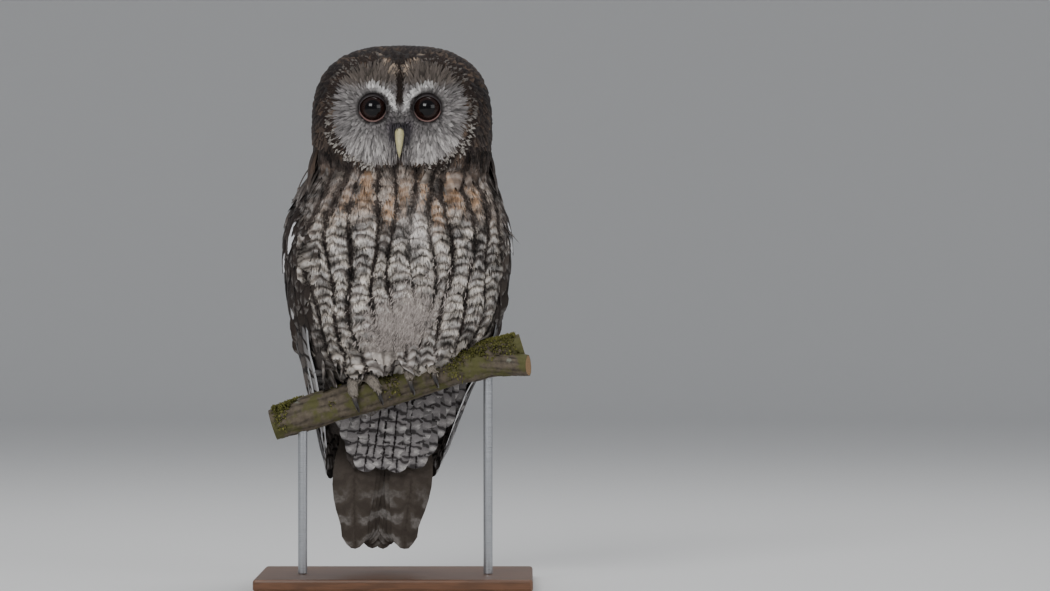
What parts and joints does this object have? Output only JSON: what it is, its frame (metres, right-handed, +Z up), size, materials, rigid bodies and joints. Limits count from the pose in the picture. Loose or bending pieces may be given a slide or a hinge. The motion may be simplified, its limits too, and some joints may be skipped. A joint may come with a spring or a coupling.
{
  "type": "tawny owl",
  "caption": "Still, life-size tawny owl roosting upright on a cut length of branch, held over a flat wooden base by two short steel rods.",
  "frame": {"origin": "on the floor under the middle of the base", "axes": "+Z up; the owl looks along -Y, so its own left side is at +X"},
  "size_m": [0.21, 0.15, 0.414],
  "materials": {
    "plumage": "soft mottled grey-brown feathers",
    "facial_disc": "fine pale grey feathers",
    "flight_feathers": "barred brown vanes",
    "eye": "wet gloss",
    "bill": "pale horn, satin",
    "claw": "dark horn, satin",
    "bark": "rough mossy bark with sawn ends",
    "stand_wood": "satin",
    "stand_steel": "satin"
  },
  "bodies": {
    "root": {"head": "plumage", "neck": "plumage", "trunk": "plumage", "undertail": "plumage", "uppertail": "plumage", "wing_left": "plumage", "wing_right": "plumage", "leg_left": "plumage", "leg_right": "plumage", "toe_inner_left": "plumage", "toe_inner_right": "plumage", "toe_middle_left": "plumage", "toe_middle_right": "plumage", "toe_hind_left": "plumage", "toe_hind_right": "plumage", "toe_outer_left": "plumage", "toe_outer_right": "plumage", "facial_disc": "facial_disc", "tail": "flight_feathers", "wing_quills_left": "flight_feathers", "wing_quills_right": "flight_feathers", "eye_left": "eye", "eye_right": "eye", "bill_upper": "bill", "bill_lower": "bill", "claw_inner_left": "claw", "claw_inner_right": "claw", "claw_middle_left": "claw", "claw_middle_right": "claw", "claw_hind_left": "claw", "claw_hind_right": "claw", "claw_outer_left": "claw", "claw_outer_right": "claw", "perch": "bark", "stand_base": "stand_wood", "stand_rod_left": "stand_steel", "stand_rod_right": "stand_steel"}
  },
  "joints": []
}
